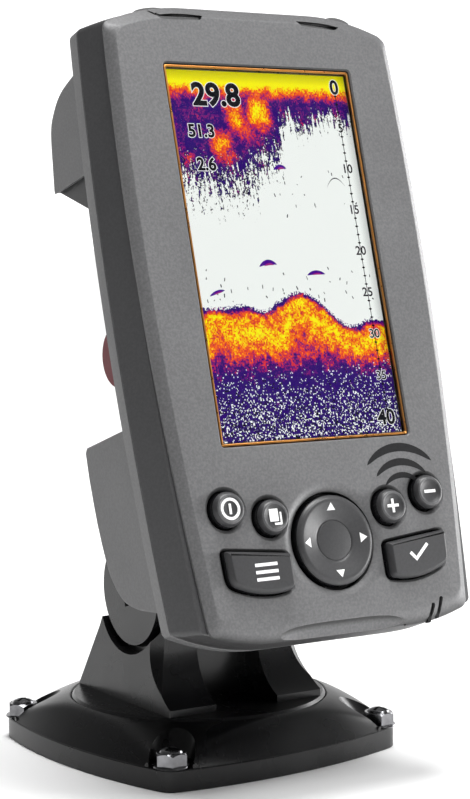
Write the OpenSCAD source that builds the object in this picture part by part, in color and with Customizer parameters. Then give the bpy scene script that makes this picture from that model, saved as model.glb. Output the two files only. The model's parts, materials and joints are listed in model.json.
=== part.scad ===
// Portrait fish finder on a swivel and tilt base.
// Deck frame: x to the viewer's right, y to the back, z up, origin under the swivel axis.
// Head frame: origin at the middle of the picture on the face plane, y into the case, z up the case.

/* [Placement] */
// lean of the screen back from upright, degrees
tilt = 16; // [0:1:40]
// turn of the base plate under the head, degrees
base_turn = 5.5; // [-30:0.5:30]
// height of the tilt axle above the deck
axle_z = 44; // [40:1:60]

/* [Case] */
// half width of the case at its seam
case_half = 47.6; // [40:0.1:60]
// top of the case above the middle of the picture
case_top = 65.6; // [50:0.1:80]
// bottom of the case below the middle of the picture
case_bottom = -97.9; // [-120:0.1:-80]
// depth of the flat part of the case
case_depth = 17.5; // [14:0.1:25]
// half width of the two bulges on the back
bulge_half = 36.4; // [25:0.1:45]
// depth of the two bulges from the face
bulge_depth = 49.4; // [40:0.1:60]
// half width of the hollow inside the case
hollow_half = 36; // [30:0.1:42]

/* [Display] */
// half width of the opening in the bezel
window_half_w = 28.3; // [25:0.1:35]
// half height of the opening in the bezel
window_half_h = 48.8; // [40:0.1:60]
// half width of the lit picture
picture_half_w = 26.93; // [20:0.01:30]
// half height of the lit picture
picture_half_h = 47.52; // [40:0.01:55]

/* [Keys] */
// radius of a round key
round_key_r = 4.4; // [3:0.1:7]
// distance of the outer round keys from the centre line
outer_key_x = 30; // [20:0.1:36]
// height of the outer round keys
outer_key_z = -64; // [-80:0.1:-50]
// distance of the inner round keys from the centre line
inner_key_x = 17.8; // [14:0.1:26]
// height of the inner round keys
inner_key_z = -66.8; // [-80:0.1:-50]
// radius of the four-way pad
pad_r = 11.4; // [8:0.1:14]
// height of the four-way pad
pad_z = -73.8; // [-80:0.1:-60]
// how far the rim of the pad stands out of the face
pad_rise = 1; // [0.5:0.1:2]
// how far a key stands out of the face
key_rise = 2.6; // [1:0.1:5]

/* [Mount] */
// distance of the tilt axle behind the face plane
axle_back = 68; // [60:0.5:80]
// distance of the tilt axle below the middle of the picture
axle_drop = 75.3; // [60:0.1:95]
// radius of the tilt discs
disc_r = 14.6; // [10:0.1:18]
// outer face of the tilt discs from the centre plane
disc_out = 21.5; // [18:0.1:26]
// radius of the tilt bolt
bolt_r = 2.5; // [2:0.05:4]
// radius of the swivelling plate under the yoke
table_r = 34.9; // [28:0.1:40]
// top of the swivelling plate above the deck
table_top = 14.5; // [12:0.1:20]

/* [Base] */
// half width of the base plate at the middle of an edge
base_half = 43.6; // [38:0.5:60]
// height of the base plate's edge wall
base_wall = 5.7; // [4:0.1:9]
// height of the base plate's crown
base_crown = 13.9; // [11:0.1:18]
// distance of a deck screw from both centre planes
screw_off = 35; // [30:0.1:50]
// radius of a deck screw hole
screw_hole_r = 2.3; // [1.5:0.1:4]

/* [Hidden] */

$fn = 48;
side_r = 147;
corner_r = 53.6;
edge_r = 1100;
waist_z = -2;
ring_floor = 8.9;
ring_top = 9.9;
table_bottom = 10.2;
spigot_r = 5.95;
spigot_end = 4.9;
tongue_half = 5.4;
tongue_r = 12.5;
washer_t = 1;
disc_in = 6.7;
hub_floor = 15.5;
square_af = 7.2;
bezel_t = 2.4;
seam = 10;
seal_t = 0.5;
socket_x = 15;
socket_y = 39.5;
socket_z = 24.05;
socket_lean = 31.6;
lever_y = 44;
lever_z = -26;
lever_pin_r = 1.5;
grip_r = 8;
grip_y = 39.5;
grip_z = -17;
screw_x = 38.8;
screw_zs = [50, -1, -52];
flange_y = 2.75;
flange_t = 0.9;
dimple_r = 5.1;

// ---------- shared helpers ----------

module on_head() {
    translate([0, 0, axle_z])
        rotate([-tilt, 0, 0])
            translate([0, -axle_back, axle_drop])
                children();
}

module on_base() {
    rotate([0, 0, base_turn]) children();
}

// a flat shape drawn in x and z, thick from y0 to y1
module slab(y0, y1) {
    translate([0, y1, 0])
        rotate([90, 0, 0])
            linear_extrude(y1 - y0) children();
}

// a side view drawn in y and z, thick from x0 to x1
module across(x0, x1) {
    translate([x0, 0, 0])
        rotate([90, 0, 90])
            linear_extrude(x1 - x0) children();
}

// a rod along x
module rod_x(r, x0, x1) {
    translate([x0, 0, 0])
        rotate([0, 90, 0])
            cylinder(r = r, h = x1 - x0);
}

// a rod along y
module rod_y(r, y0, y1) {
    translate([0, y1, 0])
        rotate([90, 0, 0])
            cylinder(r = r, h = y1 - y0);
}

module box(x0, x1, y0, y1, z0, z1) {
    translate([x0, y0, z0]) cube([x1 - x0, y1 - y0, z1 - z0]);
}

module both_sides() {
    children();
    mirror([1, 0, 0]) children();
}

// outline of the case: bowed on all four sides, with round corners
module case_outline(half, top, bottom, corner) {
    offset(r = corner, $fn = 32) offset(delta = -corner)
        intersection() {
            translate([half - edge_r, waist_z]) circle(r = edge_r, $fn = 480);
            translate([edge_r - half, waist_z]) circle(r = edge_r, $fn = 480);
            translate([0, top - 190]) circle(r = 190, $fn = 140);
            translate([0, bottom + 170]) circle(r = 170, $fn = 130);
        }
}

module base_outline(half, corner) {
    intersection() {
        translate([side_r - half, 0]) circle(r = side_r, $fn = 160);
        translate([half - side_r, 0]) circle(r = side_r, $fn = 160);
        translate([0, side_r - half]) circle(r = side_r, $fn = 160);
        translate([0, half - side_r]) circle(r = side_r, $fn = 160);
        circle(r = corner, $fn = 96);
    }
}

module at_deck_screws() {
    for (x = [-screw_off, screw_off], y = [-screw_off, screw_off])
        translate([x, y, 0]) children();
}

// ---------- base ----------

module base_crown_body() {
    hull() {
        linear_extrude(base_wall) base_outline(base_half, corner_r);
        for (f = [0.5, 1])
            linear_extrude(base_wall + (base_crown - base_wall) * (1 - pow(1 - f, 1.25)))
                base_outline(
                    base_half - (base_half - table_r - 0.9) * f,
                    corner_r - (corner_r - table_r - 0.9) * f
                );
    }
}

module base_plate() {
    color([0.03, 0.03, 0.035])
        on_base()
            difference() {
                base_crown_body();
                translate([0, 0, ring_floor]) cylinder(r = table_r + 0.3, h = 9);
                translate([0, 0, -1]) cylinder(r = spigot_r + 0.05, h = 12);
                translate([0, 0, -1]) cylinder(r = 13, h = 6.2);
                translate([0, 0, -1]) linear_extrude(2.2) base_outline(base_half - 4, corner_r - 4.2);
                at_deck_screws() translate([0, 0, -1]) cylinder(r = screw_hole_r, h = 20);
                at_deck_screws() translate([0, 0, base_wall]) cylinder(r = 5.8, h = 20);
            }
}

module base_pad() {
    color([0.08, 0.08, 0.08])
        on_base()
            linear_extrude(1.15)
                difference() {
                    base_outline(base_half - 4.3, corner_r - 4.5);
                    circle(r = 14);
                    for (x = [-screw_off, screw_off], y = [-screw_off, screw_off])
                        translate([x, y]) circle(r = 3.4);
                }
}

module deck_screw() {
    difference() {
        union() {
            translate([0, 0, 0.3]) cylinder(r = 2.1, h = 5.6);
            translate([0, 0, base_wall + 0.05]) cylinder(r = 4.9, h = 0.9);
            intersection() {
                translate([0, 0, base_wall + 0.9]) cylinder(r = 4.15, h = 2.9, $fn = 6);
                translate([0, 0, base_wall - 3]) cylinder(r1 = 10, r2 = 3.4, h = 6.8);
            }
        }
        for (a = [20, 110])
            rotate([0, 0, a]) box(-2.1, 2.1, -0.45, 0.45, base_wall + 2.6, base_wall + 5);
    }
}

module base_screws() {
    color([0.8, 0.8, 0.82])
        on_base() at_deck_screws() deck_screw();
}

module swivel_ring() {
    color([0.85, 0.84, 0.8])
        difference() {
            translate([0, 0, ring_floor]) cylinder(r = 33, h = ring_top - ring_floor);
            translate([0, 0, ring_floor - 1]) cylinder(r = 20, h = 4);
        }
}

// ---------- yoke ----------

module front_flare(face, toe, waist) {
    difference() {
        polygon([[-toe, 13], [-toe, waist], [-face, waist], [-face, 36], [60, 36], [60, 13]]);
        translate([-face - 16, waist]) circle(r = 16);
    }
}

module pedestal() {
    intersection() {
        across(-30, 30)
            intersection() {
                front_flare(15, 24.8, 31);
                polygon([[-60, 13], [-60, 36], [14, 36], [15.4, 32.5], [25.2, 14], [25.2, 13]]);
            }
        slab(-60, 60) polygon([[-24.1, 13], [24.1, 13], [22, 36], [-22, 36]]);
        rotate([0, 0, -45]) across(-80, 80) front_flare(24.5, 34.2, 32);
        rotate([0, 0, 45]) across(-80, 80) front_flare(24.5, 34.2, 32);
    }
}

module yoke() {
    color([0.03, 0.03, 0.035])
        difference() {
            union() {
                translate([0, 0, table_bottom]) cylinder(r = table_r, h = table_top - table_bottom - 0.7);
                translate([0, 0, table_top - 0.7]) cylinder(r1 = table_r, r2 = table_r - 0.7, h = 0.7);
                translate([0, 0, spigot_end]) cylinder(r = spigot_r, h = 6);
                difference() {
                    pedestal();
                    box(-9.6, 9.6, -60, -8.5, table_top, 60);
                    box(-9.6, 9.6, 12, 60, table_top, 60);
                    translate([0, 0, axle_z]) rod_x(15.3, -40, 40);
                    translate([0, 0, axle_z]) both_sides() rod_x(17, 19.2, 40);
                }
                translate([0, 0, axle_z]) rod_x(tongue_r, -tongue_half, tongue_half);
                box(-tongue_half, tongue_half, -8, 10, table_top - 1, axle_z - 6);
            }
            translate([0, 0, axle_z]) rod_x(bolt_r + 0.05, -20, 20);
            translate([0, 0, 0]) cylinder(r = 2.05, h = 15);
        }
}

module swivel_washer() {
    color([0.7, 0.7, 0.72])
        difference() {
            translate([0, 0, spigot_end - 1.5]) cylinder(r = 11, h = 1.5);
            cylinder(r = 2.2, h = 10);
        }
}

module swivel_screw() {
    color([0.6, 0.6, 0.62])
        difference() {
            union() {
                translate([0, 0, 1.6]) cylinder(r = 4, h = spigot_end - 3.1);
                translate([0, 0, 2]) cylinder(r = 2, h = 12);
            }
            for (a = [0, 90])
                rotate([0, 0, a]) box(-2, 2, -0.4, 0.4, 1, 2.5);
        }
}

module tilt_washers() {
    color([0.75, 0.74, 0.7])
        translate([0, 0, axle_z])
            both_sides()
                difference() {
                    rod_x(9, tongue_half, tongue_half + washer_t);
                    rod_x(bolt_r + 0.08, 0, 20);
                }
}

// ---------- bracket and tilt bolt ----------

module at_axle() {
    translate([0, axle_back, -axle_drop]) children();
}

module bracket() {
    color([0.05, 0.05, 0.055])
        on_head()
            difference() {
                union() {
                    box(-26, 26, 51.4, 57.2, -75.5, -44);
                    box(-20.4, 20.4, 51.4, 57.2, -45, -28);
                    at_axle() both_sides() rod_x(disc_r, disc_in, disc_out);
                    both_sides()
                        across(disc_in, disc_out)
                            polygon([[54.4, -80], [57, -50], [68, -61.6], [68, -80]]);
                    box(-13.8, 13.8, 45, 52, -66, -46);
                    box(-18, 18, 44, 46.6, -66, -46);
                    both_sides() box(18, 21.4, 44, 52.5, -32.5, -22);
                    translate([0, lever_y, lever_z]) both_sides() rod_x(4.2, 18, 21.4);
                }
                box(-disc_in, disc_in, 50, 60, -90, -59);
                at_axle() rod_x(bolt_r + 0.05, -40, 40);
                at_axle() both_sides() box(hub_floor, 30, -3.8, 3.8, -3.8, 3.8);
                translate([0, lever_y, lever_z]) rod_x(lever_pin_r + 0.02, -30, 30);
            }
}

module bracket_pads() {
    color([0.1, 0.1, 0.1])
        on_head()
            both_sides() box(19.5, 25, 49.6, 51.4, -64, -46);
}

module tilt_bolt() {
    color([0.5, 0.5, 0.52])
        on_head() at_axle() {
            rod_x(bolt_r, -hub_floor - 0.1, 20.2);
            box(-hub_floor - 3.2, -hub_floor, -square_af / 2, square_af / 2, -square_af / 2, square_af / 2);
        }
}

module tilt_nut() {
    color([0.5, 0.5, 0.52])
        on_head() at_axle()
            difference() {
                box(hub_floor, hub_floor + 4, -square_af / 2, square_af / 2, -square_af / 2, square_af / 2);
                rod_x(bolt_r + 0.02, 0, 30);
            }
}

// ---------- release lever ----------

module lever_pin() {
    color([0.7, 0.7, 0.72])
        on_head() translate([0, lever_y, lever_z]) rod_x(lever_pin_r, -22, 22);
}

module lever_spring() {
    color([0.6, 0.6, 0.62])
        on_head()
            for (x = [8.9 : 0.9 : 12.5])
                translate([x, lever_y, lever_z])
                    rotate([0, 90, 0])
                        rotate_extrude() translate([2.6, 0]) circle(r = 0.35, $fn = 16);
}

module grip_shape() {
    difference() {
        translate([grip_y, grip_z]) circle(r = grip_r);
        translate([20, -40]) square([17.5, 40]);
    }
}

module release_lever() {
    color([0.55, 0.06, 0.09])
        on_head()
            difference() {
                union() {
                    across(-31, 31) grip_shape();
                    across(-8, 8)
                        polygon([[42, -37.8], [46, -37.8], [46.8, -20], [38, -20]]);
                    both_sides() across(14, 17.4)
                        polygon([[41, -29], [47, -29], [46.8, -20], [38, -20]]);
                    translate([0, lever_y, lever_z]) rod_x(3.8, -8, 8);
                    translate([0, lever_y, lever_z]) both_sides() rod_x(3.8, 14, 17.4);
                }
                both_sides() box(17.7, 22.4, 30, 60, -40, -18.5);
                both_sides() box(8, 14, 30, 60, -40, -21);
                both_sides() translate([0, lever_y, lever_z]) rod_x(5.4, 17.7, 22.4);
                translate([0, lever_y, lever_z]) rod_x(lever_pin_r + 0.06, -30, 30);
            }
}

// ---------- rear case ----------

module hood_shape(wall) {
    intersection() {
        translate([31, 37]) circle(r = 18.4 - wall);
        translate([15, 28]) square([40, 40]);
    }
    translate([15, 28]) square([16, 27.4 - wall]);
    translate([15, 28]) square([34.4 - wall, 9]);
}

module block_shape() {
    polygon([
        [15, -38.2], [48.6, -39], [49.4, -40], [49.2, -48], [46.7, -69.5],
        [33.5, -69.5], [33.5, -82.7], [15, -87]
    ]);
    translate([33.5, -69.5]) circle(r = 13.2);
}

module rounded_plan(half, back, r) {
    translate([-half, 0]) square([2 * half, back - r]);
    translate([r - half, 0]) square([2 * (half - r), back]);
    for (s = [-1, 1])
        translate([s * (half - r), back - r]) circle(r = r);
}

module rear_skin() {
    hull() {
        slab(seam + seal_t, 14.4) case_outline(case_half, case_top, case_bottom, 3);
        slab(14.5, case_depth)
            case_outline(case_half - 4, case_top - 4, case_bottom + 4, 3);
    }
    intersection() {
        across(-bulge_half, bulge_half)
            intersection() {
                hood_shape(0);
                translate([0, 30]) square([60, 40]);
            }
        translate([0, 0, 20]) linear_extrude(50) rounded_plan(bulge_half, bulge_depth, 4);
    }
    intersection() {
        across(-bulge_half, bulge_half) block_shape();
        translate([0, 0, -95]) linear_extrude(60) rounded_plan(bulge_half, bulge_depth, 7);
    }
}

module rear_case() {
    color([0.33, 0.33, 0.34])
        on_head()
            difference() {
                rear_skin();
                box(-hollow_half, hollow_half, 5, 15.3, -91, 56);
                across(-33.9, 33.9)
                    intersection() {
                        hood_shape(2.4);
                        translate([14, 20]) square([60, 60]);
                    }
                box(-33.5, 33.5, 10, 40.6, -78.5, -45.6);
                box(-14.2, 14.2, 40, 60, -95, -45.4);
                box(-18.4, 18.4, 43.6, 47, -95, -45.4);
                box(-12, 12, 31, 41.4, -43, -30);
                for (z = screw_zs)
                    translate([0, 0, z]) both_sides() translate([screw_x, 0, 0]) {
                        rod_y(1.6, 5, 20);
                        rod_y(2.3, 14.6, 20);
                    }
            }
}

// places things along the axis of a socket, mouth at zero, inside positive
module at_socket(x) {
    translate([x, socket_y, socket_z]) rotate([socket_lean, 0, 0]) children();
}

module socket_panel() {
    color([0.03, 0.03, 0.03])
        on_head()
            difference() {
                across(-35.6, 35.6)
                    polygon([[17.55, 29.95], [48.8, 29.95], [30, 18.35], [17.55, 18.35]]);
                for (x = [-socket_x, socket_x])
                    at_socket(x) translate([0, 0, -5]) cylinder(r = 7.05, h = 30);
            }
}

module socket(x) {
    at_socket(x)
        difference() {
            union() {
                translate([0, 0, -1.4]) cylinder(r = 7.9, h = 1.35);
                translate([0, 0, -1.4]) cylinder(r = 7, h = 11.4);
            }
            translate([0, 0, -5]) cylinder(r = 5.6, h = 12.8);
        }
}

module power_socket() {
    color([0.05, 0.05, 0.05]) on_head() socket(-socket_x);
}

module sonar_socket() {
    color([0.05, 0.05, 0.05]) on_head() socket(socket_x);
}

module socket_pins() {
    color([0.8, 0.62, 0.25])
        on_head() {
            for (a = [45 : 90 : 315])
                at_socket(-socket_x) rotate([0, 0, a]) translate([2.6, 0, 4.6])
                    cylinder(r = 0.5, h = 3.2);
            for (a = [0 : 60 : 300])
                at_socket(socket_x) rotate([0, 0, a]) translate([3, 0, 4.6])
                    cylinder(r = 0.45, h = 3.2);
        }
}

module case_screws() {
    color([0.6, 0.6, 0.62])
        on_head()
            for (z = screw_zs)
                translate([0, 0, z]) both_sides() translate([screw_x, 0, 0])
                    difference() {
                        union() {
                            rod_y(1.15, 4.6, 15);
                            rod_y(2.05, 14.65, 16.8);
                        }
                        box(-1.3, 1.3, 15.8, 18, -0.3, 0.3);
                        box(-0.3, 0.3, 15.8, 18, -1.3, 1.3);
                    }
}

// ---------- case front ----------

module case_seal() {
    color([0.05, 0.05, 0.05])
        on_head()
            difference() {
                slab(seam, seam + seal_t)
                    case_outline(case_half - 0.9, case_top - 0.9, case_bottom + 0.9, 3);
                box(-hollow_half, hollow_half, 5, 15, -91, 56);
                for (z = screw_zs)
                    translate([0, 0, z]) both_sides() translate([screw_x, 0, 0]) rod_y(1.6, 5, 20);
            }
}

module mid_frame() {
    color([0.16, 0.16, 0.17])
        on_head()
            difference() {
                hull() {
                    slab(bezel_t, bezel_t + 0.1) case_outline(43.6, 63.9, -96.3, 3);
                    slab(seam - 0.6, seam)
                        case_outline(case_half - 0.2, case_top - 0.1, case_bottom + 0.2, 3);
                }
                box(-hollow_half, hollow_half, 1, 15, -91, 56);
                for (z = screw_zs)
                    translate([0, 0, z]) both_sides() translate([screw_x, 0, 0]) rod_y(1.2, 4, 20);
            }
}

module wing_outline(gap) {
    intersection() {
        polygon([
            [-33 - gap, -73.9 + gap], [-14.4 + gap, -75.8 + gap],
            [-14.4 + gap, -90], [-32.5 - gap, -90]
        ]);
        translate([-20.5, -60.3]) circle(r = 25 + gap);
    }
}

module inlay_outline(gap) {
    polygon([
        [14.6 + gap, 66], [14.6 + gap, 62], [16.4 + gap, 59.8 + gap], [26.4 - gap, 59.5 + gap],
        [28.4 - gap, 61.9], [28.8 - gap, 66]
    ]);
}

module front_bezel() {
    color([0.5, 0.5, 0.52])
        on_head()
            difference() {
                hull() {
                    slab(0, 0.05) case_outline(41.6, 61, -94.6, 4);
                    slab(1.1, bezel_t) case_outline(43.8, 64.1, -96.5, 3);
                }
                box(-window_half_w, window_half_w, -1, 5, -window_half_h, window_half_h);
                for (s = [-1, 1]) {
                    translate([s * outer_key_x, 0, outer_key_z]) rod_y(round_key_r + 0.5, -1, 5);
                    translate([s * inner_key_x, 0, inner_key_z]) rod_y(round_key_r + 0.5, -1, 5);
                }
                translate([0, 0, pad_z]) rod_y(pad_r + 0.9, -1, 5);
                both_sides() slab(-1, 5) wing_outline(0.5);
                both_sides() slab(-1, 5) inlay_outline(0);
                slab(-1, 1.3)
                    intersection() {
                        translate([0, -193.4]) circle(r = 100, $fn = 240);
                        translate([-19, -99]) square([38, 10]);
                    }
                box(10, 12.6, -1, 2, -96.2, -95.4);
                box(13.6, 19.4, -1, 2, -96.2, -95.4);
                for (x = [26.4, 29])
                    translate([x, 0, -93.4]) rotate([0, 23, 0]) box(-0.4, 0.4, -1, 3, -1.5, 1.6);
            }
}

module bezel_inlays() {
    color([0.2, 0.2, 0.21])
        on_head()
            both_sides()
                difference() {
                    slab(0.35, bezel_t)
                        intersection() {
                            inlay_outline(0.12);
                            union() {
                                translate([0, 63.8 - 190]) circle(r = 190, $fn = 140);
                                translate([25, 61]) circle(r = 2.8);
                            }
                        }
                    box(17, 23.5, -1, 1.2, 61, 70);
                }
}

module display_trim() {
    color([0.62, 0.36, 0.16])
        on_head()
            difference() {
                box(-28, 28, 0.45, bezel_t, -48.5, 48.5);
                box(-27.4, 27.4, -1, 5, -47.9, 47.9);
            }
}

module display_window() {
    color([0.9, 0.92, 0.95, 0.35])
        on_head() box(-27.3, 27.3, 0.6, 1.35, -47.8, 47.8);
}

module lcd_panel() {
    color([0.1, 0.12, 0.2])
        on_head() box(-picture_half_w - 0.3, picture_half_w + 0.3, 1.45, 2.9, -47.7, 47.7);
}

module lcd_frame() {
    color([0.7, 0.7, 0.72])
        on_head()
            difference() {
                box(-31, 31, 2.95, 6.3, -54, 54);
                box(-28.6, 28.6, 2, 3.6, -49.5, 49.5);
            }
}

module lcd_flex() {
    color([0.75, 0.45, 0.12])
        on_head() {
            box(-8, 8, 5.2, 8.2, -54.35, -54.05);
            box(-8, 8, 7.9, 8.2, -56.5, -54.05);
        }
}

// ---------- inside ----------

module keypad_mat() {
    color([0.25, 0.25, 0.27])
        on_head()
            difference() {
                union() {
                    box(-35.5, 35.5, 5, 6.1, -89, -57.5);
                    for (s = [-1, 1]) {
                        translate([s * outer_key_x, 0, outer_key_z]) rod_y(2, 4.8, 5.5);
                        translate([s * inner_key_x, 0, inner_key_z]) rod_y(2, 4.8, 5.5);
                        translate([s * 24, 0, -80]) rod_y(2, 4.8, 5.5);
                    }
                }
                translate([0, 0, pad_z]) rod_y(4.5, 0, 10);
            }
}

module key_switches() {
    color([0.75, 0.75, 0.76])
        on_head() {
            for (s = [-1, 1]) {
                translate([s * outer_key_x, 0, outer_key_z]) switch();
                translate([s * inner_key_x, 0, inner_key_z]) switch();
                translate([s * 24, 0, -80]) switch();
                translate([s * 8.6, 0, pad_z]) switch();
                translate([0, 0, pad_z + s * 8.6]) switch();
            }
        }
}

module switch() {
    box(-2.4, 2.4, 6.9, 8.3, -2.4, 2.4);
    rod_y(1.5, 6.2, 6.95);
}

module main_board() {
    color([0.05, 0.28, 0.14])
        on_head()
            difference() {
                box(-35, 35, 8.35, 9.9, -90, 55);
                for (x = [-31, 31], z = [48, -84])
                    translate([x, 0, z]) rod_y(1.5, 5, 12);
            }
}

module board_standoffs() {
    color([0.8, 0.65, 0.35])
        on_head()
            for (x = [-31, 31], z = [48, -84])
                translate([x, 0, z])
                    difference() {
                        rod_y(2.6, 9.95, 15.25);
                        rod_y(1.2, 9, 13);
                    }
}

module board_shield() {
    color([0.75, 0.75, 0.77])
        on_head()
            difference() {
                box(-22, 22, 9.95, 13.6, -14, 26);
                box(-21.6, 21.6, 9, 13.2, -13.6, 25.6);
            }
}

module sonar_transformer() {
    color([0.15, 0.15, 0.16])
        on_head() {
            box(-24, -6, 9.95, 22, -66, -50);
            box(-21, -9, 22, 25, -64, -52);
        }
}

module capacitors() {
    color([0.2, 0.25, 0.4])
        on_head()
            for (x = [4, 14])
                translate([x, 0, -58]) rod_y(4, 9.95, 24);
}

module buzzer() {
    color([0.05, 0.05, 0.05])
        on_head()
            translate([26, 0, -66])
                difference() {
                    rod_y(5, 9.95, 15);
                    rod_y(1, 13, 16);
                }
}

// ---------- keys ----------

module round_key(x, z) {
    translate([x, 0, z])
        difference() {
            union() {
                rod_y(round_key_r, -key_rise + 1.6, flange_y + 0.2);
                translate([0, -key_rise + 1.6, 0])
                    rotate([90, 0, 0]) cylinder(r1 = round_key_r, r2 = round_key_r - 0.9, h = 1.6);
                rod_y(round_key_r + 1.1, flange_y, flange_y + flange_t);
            }
            translate([0, -key_rise - 23.3, 0]) sphere(r = 24, $fn = 64);
        }
}

module power_key() {
    color([0.16, 0.16, 0.17]) on_head() round_key(-outer_key_x, outer_key_z);
}

module pages_key() {
    color([0.16, 0.16, 0.17]) on_head() round_key(-inner_key_x, inner_key_z);
}

module plus_key() {
    color([0.16, 0.16, 0.17]) on_head() round_key(inner_key_x, inner_key_z);
}

module minus_key() {
    color([0.16, 0.16, 0.17]) on_head() round_key(outer_key_x, outer_key_z);
}

module wing_key() {
    slab(-key_rise + 1.4, flange_y + 0.1) wing_outline(0);
    slab(-key_rise + 0.6, -key_rise + 1.5) wing_outline(-0.4);
    slab(-key_rise, -key_rise + 0.7) wing_outline(-0.9);
    slab(flange_y, flange_y + flange_t)
        intersection() {
            wing_outline(1);
            difference() {
                square([200, 200], center = true);
                translate([0, pad_z]) circle(r = 13.4);
            }
        }
}

module menu_key() {
    color([0.16, 0.16, 0.17]) on_head() wing_key();
}

module enter_key() {
    color([0.16, 0.16, 0.17]) on_head() mirror([1, 0, 0]) wing_key();
}

module pad_pivot() {
    color([0.7, 0.7, 0.72])
        on_head()
            translate([0, 0, pad_z]) {
                translate([0, 5.2, 0]) sphere(r = 1.8);
                rod_y(0.9, 5.5, 7.4);
            }
}

module direction_pad() {
    color([0.2, 0.2, 0.21])
        on_head()
            translate([0, 0, pad_z])
                difference() {
                    union() {
                        rod_y(pad_r, 0, 3.4);
                        rotate([90, 0, 0]) cylinder(r1 = pad_r, r2 = pad_r - 1.4, h = pad_rise);
                        rod_y(pad_r + 1.5, 3.3, 4.1);
                        rod_y(3.6, 3.9, 5);
                    }
                    translate([0, -pad_rise - 0.1, 0])
                        rotate([-90, 0, 0]) cylinder(r1 = pad_r - 1.5, r2 = dimple_r, h = pad_rise + 0.1);
                    translate([0, 5.2, 0]) sphere(r = 2.1);
                    rod_y(1.5, 5, 9);
                }
}

base_plate();
base_pad();
base_screws();
swivel_ring();
yoke();
swivel_washer();
swivel_screw();
tilt_washers();
bracket();
bracket_pads();
tilt_bolt();
tilt_nut();
lever_pin();
lever_spring();
rear_case();
socket_panel();
power_socket();
sonar_socket();
socket_pins();
case_screws();
case_seal();
mid_frame();
front_bezel();
bezel_inlays();
display_trim();
display_window();
lcd_panel();
lcd_frame();
lcd_flex();
keypad_mat();
key_switches();
main_board();
board_standoffs();
board_shield();
sonar_transformer();
capacitors();
buzzer();
power_key();
pages_key();
plus_key();
minus_key();
menu_key();
enter_key();
pad_pivot();
direction_pad();
release_lever();
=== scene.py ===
"""A portrait fish finder on its swivel and tilt base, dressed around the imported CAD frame.

Shapes are drawn in millimetres in one of two local spaces and placed by a matrix:
FACE   x to the right, y up the case, z out of the face plane, origin at the middle of the picture.
BASE   the deck frame turned with the base plate.
"""

import json
import math
import random

import bmesh
import bpy
from mathutils import Matrix, Vector


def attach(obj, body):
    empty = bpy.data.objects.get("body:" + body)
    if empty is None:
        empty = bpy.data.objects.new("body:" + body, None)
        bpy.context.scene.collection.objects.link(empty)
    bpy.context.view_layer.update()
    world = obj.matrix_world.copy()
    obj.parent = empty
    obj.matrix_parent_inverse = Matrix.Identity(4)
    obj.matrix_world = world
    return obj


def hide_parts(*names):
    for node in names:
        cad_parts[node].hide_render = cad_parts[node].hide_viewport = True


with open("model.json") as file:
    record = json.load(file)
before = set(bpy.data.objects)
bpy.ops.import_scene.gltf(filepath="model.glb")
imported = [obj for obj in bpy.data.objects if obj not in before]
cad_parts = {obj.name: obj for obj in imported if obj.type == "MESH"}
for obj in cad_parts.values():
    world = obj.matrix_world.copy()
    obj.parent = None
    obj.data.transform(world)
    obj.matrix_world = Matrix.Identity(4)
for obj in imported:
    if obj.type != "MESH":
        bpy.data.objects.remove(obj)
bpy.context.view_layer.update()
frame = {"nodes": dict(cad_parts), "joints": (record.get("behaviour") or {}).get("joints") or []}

MM = 0.001


def joint(name):
    return next(j for j in frame["joints"] if j["name"] == name)


# ---------------------------------------------------------------- camera

CAMERA_PLACE = (-0.28927, -0.47567, 0.14082)
CAMERA_AZIMUTH = math.radians(-32.389)
CAMERA_ELEVATION = math.radians(5.443)
CAMERA_ROLL = math.radians(-0.216)
CAMERA_SHIFT = (-0.0011, 0.03105)
LENS = 92.4995
SENSOR = 36.0


def make_camera():
    data = bpy.data.cameras.new("camera")
    data.sensor_width = SENSOR
    data.lens = LENS
    data.shift_x, data.shift_y = CAMERA_SHIFT
    data.clip_start = 0.01
    data.clip_end = 20
    camera = bpy.data.objects.new("camera", data)
    bpy.context.scene.collection.objects.link(camera)
    turn = Matrix.Rotation(CAMERA_AZIMUTH, 4, "Z")
    look = Matrix.Rotation(math.pi / 2 - CAMERA_ELEVATION, 4, "X")
    roll = Matrix.Rotation(CAMERA_ROLL, 4, "Z")
    camera.matrix_world = Matrix.Translation(CAMERA_PLACE) @ turn @ look @ roll
    bpy.context.scene.camera = camera


make_camera()
bpy.context.scene.view_settings.view_transform = "Standard"

# ---------------------------------------------------------------- local spaces

AXLE_BACK = 68
AXLE_DROP = 75.3
BASE_TURN = math.radians(5.5)

into_case = Vector(joint("power_press")["axis"])
up_case = Vector(joint("pad_rock_left_right")["axis"])
face_middle = Vector(joint("tilt")["pos_m"]) - AXLE_BACK * MM * into_case + AXLE_DROP * MM * up_case
face_turn = Matrix(((1, 0, 0), tuple(up_case), tuple(-into_case))).transposed().to_4x4()
FACE = Matrix.Translation(face_middle) @ face_turn @ Matrix.Scale(MM, 4)
BASE = Matrix.Rotation(BASE_TURN, 4, "Z") @ Matrix.Scale(MM, 4)

# ---------------------------------------------------------------- node helpers


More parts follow.
